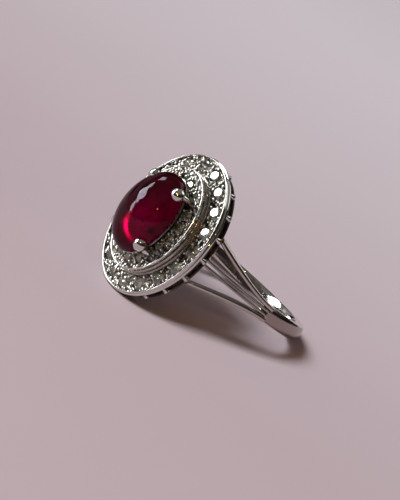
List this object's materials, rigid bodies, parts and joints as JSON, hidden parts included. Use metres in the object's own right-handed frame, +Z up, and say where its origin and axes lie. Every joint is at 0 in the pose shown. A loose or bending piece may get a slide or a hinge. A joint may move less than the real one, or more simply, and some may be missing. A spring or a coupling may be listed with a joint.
{
  "type": "cocktail ring",
  "caption": "Oval cluster cocktail ring: a high red cabochon in claws over stepped tiers of small clear stones, on a shank with split wire shoulders.",
  "frame": {"origin": "centre of the bounding box on the surface that the ring lies on", "axes": "+Z up, +X across the finger, -Y the side that the head faces; the ring lies on the lower end of its rim and the back of its shank, so the finger hole's axis leans 20.5 degrees back from vertical"},
  "size_m": [0.0196, 0.0242, 0.0152],
  "materials": {
    "platinum": "polished, slightly warm white metal, worn soft on the high edges",
    "ruby": "polished cabochon, deep crimson with a pink glow",
    "diamond": "polished facets, clear"
  },
  "bodies": {
    "root": {"shank": "platinum", "shoulder_outer_left_front": "platinum", "shoulder_centre_left_front": "platinum", "shoulder_outer_left_rear": "platinum", "shoulder_centre_left_rear": "platinum", "shoulder_outer_right_front": "platinum", "shoulder_centre_right_front": "platinum", "shoulder_outer_right_rear": "platinum", "shoulder_centre_right_rear": "platinum", "outer_plate": "platinum", "rim_wire": "platinum", "tier_wall": "platinum", "tier_wire_lower": "platinum", "tier_wire_upper": "platinum", "inner_plate": "platinum", "ruby_collet": "platinum", "claw_1": "platinum", "claw_2": "platinum", "claw_3": "platinum", "claw_4": "platinum", "gallery_arcade": "platinum", "gallery_rail": "platinum", "ruby": "ruby", "diamond_outer_01": "diamond", "diamond_outer_02": "diamond", "diamond_outer_03": "diamond", "diamond_outer_04": "diamond", "diamond_outer_05": "diamond", "diamond_outer_06": "diamond", "diamond_outer_07": "diamond", "diamond_outer_08": "diamond", "diamond_outer_09": "diamond", "diamond_outer_10": "diamond", "diamond_outer_11": "diamond", "diamond_outer_12": "diamond", "diamond_outer_13": "diamond", "diamond_outer_14": "diamond", "diamond_outer_15": "diamond", "diamond_outer_16": "diamond", "diamond_outer_17": "diamond", "diamond_outer_18": "diamond", "diamond_inner_01": "diamond", "diamond_inner_02": "diamond", "diamond_inner_03": "diamond", "diamond_inner_04": "diamond", "diamond_inner_05": "diamond", "diamond_inner_06": "diamond", "diamond_inner_07": "diamond", "diamond_inner_08": "diamond", "diamond_inner_09": "diamond", "diamond_inner_10": "diamond", "diamond_inner_11": "diamond", "diamond_inner_12": "diamond", "diamond_inner_13": "diamond", "diamond_inner_14": "diamond", "diamond_inner_15": "diamond", "diamond_inner_16": "diamond"}
  },
  "joints": []
}
